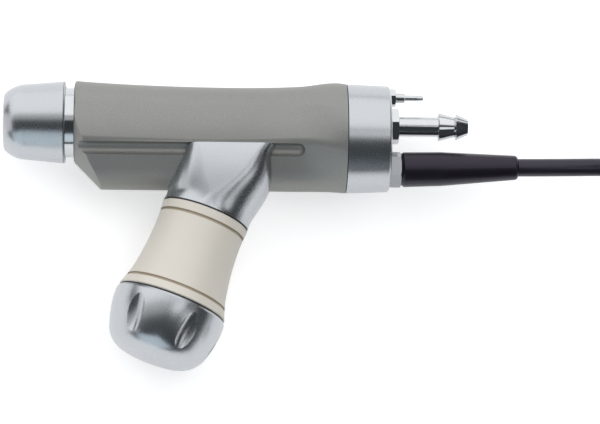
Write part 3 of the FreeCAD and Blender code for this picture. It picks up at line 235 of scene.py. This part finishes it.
def make_housing_grey():
    """Warm grey sprayed metal with fine light and dark speckles."""
    made, tree, shader = new_material("housing_grey")
    speck = noise(tree, 0.00022, 2, roughness=0.6)
    light = ramp(tree, speck, 0.56, 0.72)
    dark = ramp(tree, noise(tree, 0.00030, 2, roughness=0.6), 0.60, 0.76)
    cloud = noise(tree, 0.014, 2)
    base = mix(tree, cloud, (0.284, 0.285, 0.272), (0.312, 0.313, 0.300))
    base = mix(tree, 0.75 * light, base, (0.43, 0.43, 0.41))
    base = mix(tree, 0.6 * dark, base, (0.15, 0.15, 0.14))
    feed(tree, shader, Base_Color=base, Metallic=0.65, Roughness=0.42 + 0.08 * speck)
    feed(tree, shader, Normal=bump(tree, flank_crown(tree) + 0.00001 * speck, 1.0))
    return made


def make_grip_beige():
    """Smooth pale beige plastic with a faint mottle and painted shade in its turned grooves."""
    made, tree, shader = new_material("grip_beige")
    cloud = noise(tree, 0.009, 3)
    fine = noise(tree, 0.0003, 2)
    base = mix(tree, cloud, (0.745, 0.700, 0.620), (0.775, 0.732, 0.658))
    down = along(tree, DOWN_GRIP) - DOWN_GRIP.dot(GRIP_ROOT)
    # Each groove's line is painted darker: painted shade in the recess.
    for place in GRIP_GROOVES:
        base = mix(tree, 0.85 * stripe(tree, down, place, 0.00062), base, (0.40, 0.33, 0.235))
    feed(tree, shader, Base_Color=base, Roughness=0.36 + 0.08 * fine, Specular_IOR_Level=0.5)
    feed(tree, shader, Normal=bump(tree, fine, 0.000012, 0.4))
    return made


def make_seal_black():
    """Matt black sealing rubber."""
    made, tree, shader = new_material("seal_black")
    fine = noise(tree, 0.0004, 3)
    base = mix(tree, fine, (0.018, 0.018, 0.019), (0.035, 0.035, 0.037))
    feed(tree, shader, Base_Color=base, Roughness=0.55 + 0.15 * fine)
    feed(tree, shader, Normal=bump(tree, fine, 0.00002, 0.5))
    return made


def make_boot_black():
    """Smooth dark aubergine silicone with a soft sheen."""
    made, tree, shader = new_material("boot_black")
    cloud = noise(tree, 0.006, 3)
    base = mix(tree, cloud, (0.0075, 0.0060, 0.0095), (0.0105, 0.0085, 0.0130))
    feed(tree, shader, Base_Color=base, Roughness=0.27 + 0.06 * cloud, Specular_IOR_Level=0.5)
    feed(tree, shader, Specular_Tint=(0.86, 0.78, 1.0))
    feed(tree, shader, Normal=bump(tree, noise(tree, 0.0005, 2), 0.00001, 0.4))
    return made


def make_cable_jacket():
    """Dark silicone jacket of the motor cable."""
    made, tree, shader = new_material("cable_jacket")
    cloud = noise(tree, 0.01, 3)
    base = mix(tree, cloud, (0.011, 0.0095, 0.0150), (0.0145, 0.0125, 0.0190))
    feed(tree, shader, Base_Color=base, Roughness=0.28 + 0.08 * cloud, Specular_IOR_Level=0.6)
    feed(tree, shader, Specular_Tint=(0.86, 0.80, 1.0))
    feed(tree, shader, Normal=bump(tree, noise(tree, 0.0006, 2), 0.000012, 0.4))
    return made


def make_plain(name, first, second, size, rough, metallic=0.0, depth=0.00001):
    """A finish of two near tones, for pieces inside the object."""
    made, tree, shader = new_material(name)
    grain = noise(tree, size, 3)
    feed(tree, shader, Base_Color=mix(tree, grain, first, second), Metallic=metallic)
    feed(tree, shader, Roughness=rough + 0.1 * grain, Normal=bump(tree, grain, depth, 0.5))
    return made


def make_copper():
    """Enamelled winding wire: fine turns round the ring."""
    made, tree, shader = new_material("copper")
    turns = node(
        tree,
        "ShaderNodeTexWave",
        {"bands_direction": "X"},
        {"Vector": scaled(tree), "Scale": 900.0, "Distortion": 1.5, "Detail": 2.0},
        1,
    )
    base = mix(tree, turns, (0.42, 0.16, 0.07), (0.78, 0.40, 0.22))
    feed(tree, shader, Base_Color=base, Metallic=0.9, Roughness=0.3 + 0.15 * turns)
    feed(tree, shader, Normal=bump(tree, turns, 0.00005, 0.6))
    return made


FINISHES = {
    "satin_steel": make_satin_steel("satin_steel"),
    "polished_steel": make_polished_steel(),
    "housing_grey": make_housing_grey(),
    "grip_beige": make_grip_beige(),
    "seal_black": make_seal_black(),
    "boot_black": make_boot_black(),
    "cable_jacket": make_cable_jacket(),
    "copper": make_copper(),
    "lamination": make_plain("lamination", (0.16, 0.16, 0.17), (0.26, 0.26, 0.27), 0.0005, 0.4, 0.9),
    "magnet": make_plain("magnet", (0.22, 0.22, 0.23), (0.30, 0.30, 0.31), 0.0008, 0.35, 0.9),
    "circuit_green": make_plain("circuit_green", (0.02, 0.13, 0.06), (0.03, 0.20, 0.09), 0.0012, 0.3),
    "brass": make_plain("brass", (0.62, 0.46, 0.20), (0.72, 0.56, 0.28), 0.0009, 0.25, 1.0),
    "pad_plastic": make_plain("pad_plastic", (0.70, 0.69, 0.65), (0.78, 0.77, 0.73), 0.002, 0.4),
    "insert_black": make_plain("insert_black", (0.025, 0.025, 0.028), (0.04, 0.04, 0.045), 0.0005, 0.45),
}

# Nodes whose finish differs a little from that of their slot.
OWN_FINISHES = {
    # The sleeve's steel carries a dark line of painted shade for a fine groove.
    "coupling_sleeve": make_satin_steel("sleeve_steel", SLEEVE_SHADE_LINE),
    "cable_gland": make_plain("gland_steel", (0.27, 0.28, 0.30), (0.33, 0.34, 0.36), 0.0004, 0.14, 1.0),
}


def dress_nodes():
    """Give every CAD node its finish."""
    for part in frame["record"]["subparts"]:
        shown = frame["nodes"][part["node"]]
        shown.data.materials.clear()
        shown.data.materials.append(OWN_FINISHES.get(part["node"]) or FINISHES[part["material_slot"]])


# Motor cable

CABLE_RADIUS = 2.8 * MM
COIL_MIDDLE = Vector((240.0, -50.0, 0)) * MM
COIL_RADII = [39.4 * MM, 33.8 * MM, 28.2 * MM, 22.6 * MM]
LOWER_LAYER = FLOOR + CABLE_RADIUS
UPPER_LAYER = LOWER_LAYER + 2 * CABLE_RADIUS
# Turns in degrees: where the cable enters, the step between points, and where the last turn ends.
COIL_ENTRY = 96.7
COIL_STEP = 15
COIL_END = 7 * 360 + 165
# Where in a turn the cable steps to the next radius, and where it climbs to the upper layer.
STEP_FROM = 300
STEP_OVER = 60
CLIMB_FROM = 3 * 360 + 240
CLIMB_OVER = 90
# A spline of this kind runs this much inside points on a circle.
COIL_SHRINK = 0.75 + 0.25 * math.cos(math.radians(COIL_STEP))

# The free run from the strain relief down to the coil, and the end of the cable beside it.
LEAD_ROUTE = [
    (0.16118, -0.01291, 0.0),
    (0.1750, -0.0125, -0.0009),
    (0.1900, -0.0112, -0.0044),
    (0.2050, -0.0104, -0.0096),
    (0.2200, -0.0105, -0.0139),
    (0.2354, -0.0106, -0.0149),
]
PLUG_ROUTE = [
    (0.2502, -0.0881, -0.0094),
    (0.2360, -0.0922, -0.0103),
    (0.2210, -0.0960, -0.0111),
    (0.2070, -0.0987, -0.0112),
    (0.1940, -0.1003, -0.0112),
]


def eased(share):
    """A smooth step from 0 to 1."""
    share = min(max(share, 0), 1)
    return share * share * (3 - 2 * share)


def coil_place(turned_by):
    """A point of the stored coil, after a turn in degrees from where the cable enters it."""
    if turned_by < CLIMB_FROM + CLIMB_OVER:
        ring, into = divmod(turned_by, 360)
        first = int(ring)
        after = first + 1
    else:
        ring, into = divmod(turned_by - CLIMB_FROM - 360, 360)
        first = 2 - int(ring)
        after = first - 1
    share = eased((into - STEP_FROM) / STEP_OVER)
    height = LOWER_LAYER + (UPPER_LAYER - LOWER_LAYER) * eased((turned_by - CLIMB_FROM) / CLIMB_OVER)
    radii = [COIL_RADII[min(max(index, 0), 3)] for index in (first, after)]
    radius = radii[0] + (radii[1] - radii[0]) * share
    angle = math.radians(COIL_ENTRY - turned_by)
    out = Vector((math.cos(angle), math.sin(angle), 0)) * (radius / COIL_SHRINK)
    return COIL_MIDDLE + out + Vector((0, 0, height))


def make_cable():
    """The whole motor cable as one smooth line, from the strain relief to its plug."""
    points = [Vector(point) for point in LEAD_ROUTE]
    points += [coil_place(turn) for turn in range(COIL_STEP, COIL_END, COIL_STEP)]
    points += [Vector(point) for point in PLUG_ROUTE]
    line = bpy.data.curves.new("motor_cable", "CURVE")
    line.dimensions = "3D"
    line.bevel_depth = CABLE_RADIUS
    line.bevel_resolution = 7
    line.resolution_u = 6
    line.use_fill_caps = True
    spline = line.splines.new("NURBS")
    spline.points.add(len(points) - 1)
    for place, point in zip(spline.points, points):
        place.co = (*point, 1)
    spline.order_u = 3
    spline.use_endpoint_u = True
    made = bpy.data.objects.new("motor_cable", line)
    bpy.context.scene.collection.objects.link(made)
    line.materials.append(FINISHES["cable_jacket"])
    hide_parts("cable_lead", "cable_coil", "plug_lead")
    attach(made, "housing")


# Light, floor and camera

TILT = math.radians(13.4)
YAW = math.radians(2.4)
ROLL = math.radians(0.65)
CAMERA_DISTANCE = 0.953
CAMERA_LENS = 183.0
CAMERA_AIM = Vector((0.0928, -0.0280, 0))


def view_axes():
    """The camera's right, up and backward directions."""
    back = Vector((0, -math.sin(TILT), math.cos(TILT)))
    up = Vector((0, math.cos(TILT), math.sin(TILT)))
    right = Vector((math.cos(YAW), 0, 0)) + back * math.sin(YAW)
    back = back * math.cos(YAW) - Vector((math.sin(YAW), 0, 0))
    return (
        right * math.cos(ROLL) + up * math.sin(ROLL),
        up * math.cos(ROLL) - right * math.sin(ROLL),
        back,
    )


def set_camera():
    """Look down on the table at the photograph's angle."""
    right, up, back = view_axes()
    lens = bpy.data.cameras.new("camera")
    lens.lens = CAMERA_LENS
    lens.sensor_width = 36
    lens.clip_start = 0.01
    made = bpy.data.objects.new("camera", lens)
    bpy.context.scene.collection.objects.link(made)
    turn = Matrix((right, up, back)).transposed().to_4x4()
    made.matrix_world = Matrix.Translation(CAMERA_AIM + back * CAMERA_DISTANCE) @ turn
    bpy.context.scene.camera = made


LIGHT_MIDDLE = Vector((0.08, -0.03, 0))


def add_softbox(name, across, upwards, distance, width, height, radiance, in_gloss=True, tint=(1, 1, 1)):
    """A soft light of even radiance, placed by two angles in degrees from the camera's direction."""
    right, up, back = view_axes()
    across, upwards = math.radians(across), math.radians(upwards)
    flat = back * math.cos(across) + right * math.sin(across)
    way = flat * math.cos(upwards) + up * math.sin(upwards)
    side = (right * math.cos(across) - back * math.sin(across)).normalized()
    lamp = bpy.data.lights.new(name, "AREA")
    lamp.shape = "RECTANGLE"
    lamp.size = width
    lamp.size_y = height
    lamp.color = tint
    lamp.energy = radiance * math.pi * width * height
    made = bpy.data.objects.new(name, lamp)
    bpy.context.scene.collection.objects.link(made)
    turn = Matrix((side, way.cross(side), way)).transposed().to_4x4()
    made.matrix_world = Matrix.Translation(LIGHT_MIDDLE + way * distance) @ turn
    made.visible_glossy = in_gloss


def set_lights():
    """A broad soft-edged light above the barrel, smaller ones on the left and on the right, and a fill.

    Each line gives the two angles, then distance, width and height in metres, then the radiance.
    """
    add_softbox("upper_softbox", -10, 62, 1.10, 2.8, 1.7, 0.72)
    add_softbox("upper_spread", -10, 56, 1.15, 3.0, 2.6, 0.52)
    add_softbox("lower_softbox", -36, -48, 1.00, 0.9, 0.8, 0.88, tint=(0.82, 0.93, 1.0))
    add_softbox("left_card", -76, -1, 1.00, 0.75, 0.70, 0.85)
    add_softbox("right_card", 22, 8, 1.00, 0.40, 0.22, 1.00)
    add_softbox("low_right_card", 42, -8, 1.00, 0.38, 0.30, 1.10)
    add_softbox("fill", 26, -2, 1.2, 1.4, 1.2, 0.85, in_gloss=False)
    world = bpy.data.worlds.new("room")
    world.use_nodes = True
    tree = world.node_tree
    tree.nodes.clear()
    room = node(tree, "ShaderNodeBackground", {}, {"Color": (0.80, 0.90, 1.0, 1), "Strength": 0.055})
    seen = node(tree, "ShaderNodeBackground", {}, {"Color": (1, 1, 1, 1), "Strength": 1.0})
    camera_ray = node(tree, "ShaderNodeLightPath", {}, {})
    shown = node(tree, "ShaderNodeMixShader", {}, [camera_ray, room, seen])
    out = tree.nodes.new("ShaderNodeOutputWorld")
    tree.links.new(shown.socket, out.inputs[0])
    bpy.context.scene.world = world


TABLE_HALF = 6
# The table glows this much to the camera near the object, and fully from where its shadow has ended.
NEAR_GLOW = 0.5
SHADOW_WITHIN = 0.30
WHITE_FROM = 0.60
GLOSS_GLOW = 0.4


def make_floor():
    """A plain pale table that shows white to the camera and keeps the soft shadow near the object."""
    made, tree, shader = new_material("table_white")
    path = tree.nodes.new("ShaderNodeLightPath")
    camera, glossy, through = (
        Sock(tree, path.outputs[name]) for name in ("Is Camera Ray", "Is Glossy Ray", "Is Transmission Ray")
    )
    place = node(tree, "ShaderNodeTexCoord", {}, [], 3)
    distance = node(tree, "ShaderNodeVectorMath", {"operation": "LENGTH"}, {0: place}, 1)
    glow_seen = NEAR_GLOW + (1 - NEAR_GLOW) * ramp(tree, distance, SHADOW_WITHIN, WHITE_FROM)
    seen = (camera + through).clip() * glow_seen + GLOSS_GLOW * glossy
    glow = mix(tree, seen, (0, 0, 0), (1, 1, 1))
    feed(tree, shader, Base_Color=(0.86, 0.86, 0.86), Roughness=0.9, Specular_IOR_Level=0.0)
    feed(tree, shader, Emission_Color=glow, Emission_Strength=1.0)
    shape = bmesh.new()
    bmesh.ops.create_grid(shape, x_segments=2, y_segments=2, size=TABLE_HALF)
    mesh = bpy.data.meshes.new("table")
    shape.to_mesh(mesh)
    shape.free()
    mesh.materials.append(made)
    table = bpy.data.objects.new("table", mesh)
    bpy.context.scene.collection.objects.link(table)
    table.location = (0, 0, FLOOR)


set_camera()
make_cable()
dress_nodes()
set_lights()
make_floor()
bpy.context.scene.view_settings.view_transform = "Standard"
